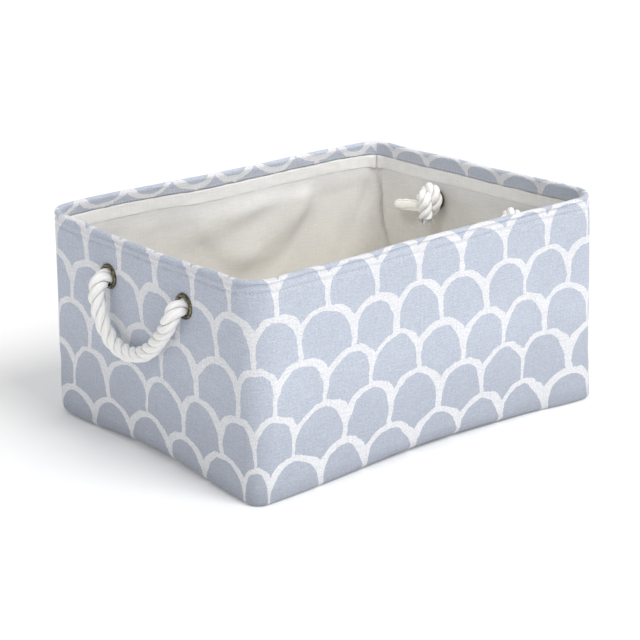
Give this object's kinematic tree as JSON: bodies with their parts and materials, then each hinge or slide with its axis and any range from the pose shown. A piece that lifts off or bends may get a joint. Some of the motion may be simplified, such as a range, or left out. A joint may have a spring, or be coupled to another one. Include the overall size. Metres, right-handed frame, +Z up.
{
  "type": "fabric storage bin",
  "caption": "Open-topped fabric storage bin with a wire-stiffened rim, knotted rope handles through metal eyelets, a loose lining and a stiffened base; the rim pushes down to flatten it.",
  "frame": {"origin": "centre of the bin's underside, on the surface that it stands on", "axes": "+X along the long side, +Y along the short side, +Z up"},
  "size_m": [0.4406, 0.3022, 0.2],
  "materials": {
    "canvas": "blue-grey cotton-linen canvas, screen-printed with hand-drawn white fish-scale outlines, matt",
    "lining": "plain-weave cream lining, thin, matt, softly creased",
    "board": "grey fibreboard stiffener",
    "wire": "drawn steel wire",
    "thread": "white polyester sewing thread",
    "eyelet": "antique brass, darkened in the recesses, soft shine",
    "rope": "natural white three-strand twisted cotton rope"
  },
  "bodies": {
    "base": {"outer_wall": "canvas", "outer_base": "canvas", "base_board": "board", "lining_wall": "lining", "lining_base": "lining"},
    "rim": {"rim_hem": "canvas", "rim_wire": "wire", "rim_stitching": "thread", "lining_band": "lining", "eyelet_left_back": "eyelet", "eyelet_left_front": "eyelet", "eyelet_right_back": "eyelet", "eyelet_right_front": "eyelet", "washer_left_back": "eyelet", "washer_left_front": "eyelet", "washer_right_back": "eyelet", "washer_right_front": "eyelet", "rope_end_left_back": "rope", "rope_end_left_front": "rope", "rope_end_right_back": "rope", "rope_end_right_front": "rope"},
    "handle_left": {"rope_handle_left": "rope"},
    "handle_right": {"rope_handle_right": "rope"}
  },
  "joints": [
    {"name": "rim_collapse", "type": "slide", "parent": "base", "child": "rim", "axis": [0, 0, -1], "range_m": [0, 0.08], "deforming": ["outer_wall", "lining_wall"]},
    {"name": "handle_left_swing", "type": "hinge", "parent": "rim", "child": "handle_left", "pos_m": [-0.2115, 0, 0.154], "axis": [0, 1, 0], "range_deg": [0, 170]},
    {"name": "handle_right_swing", "type": "hinge", "parent": "rim", "child": "handle_right", "pos_m": [0.2115, 0, 0.154], "axis": [0, -1, 0], "range_deg": [0, 170]}
  ]
}
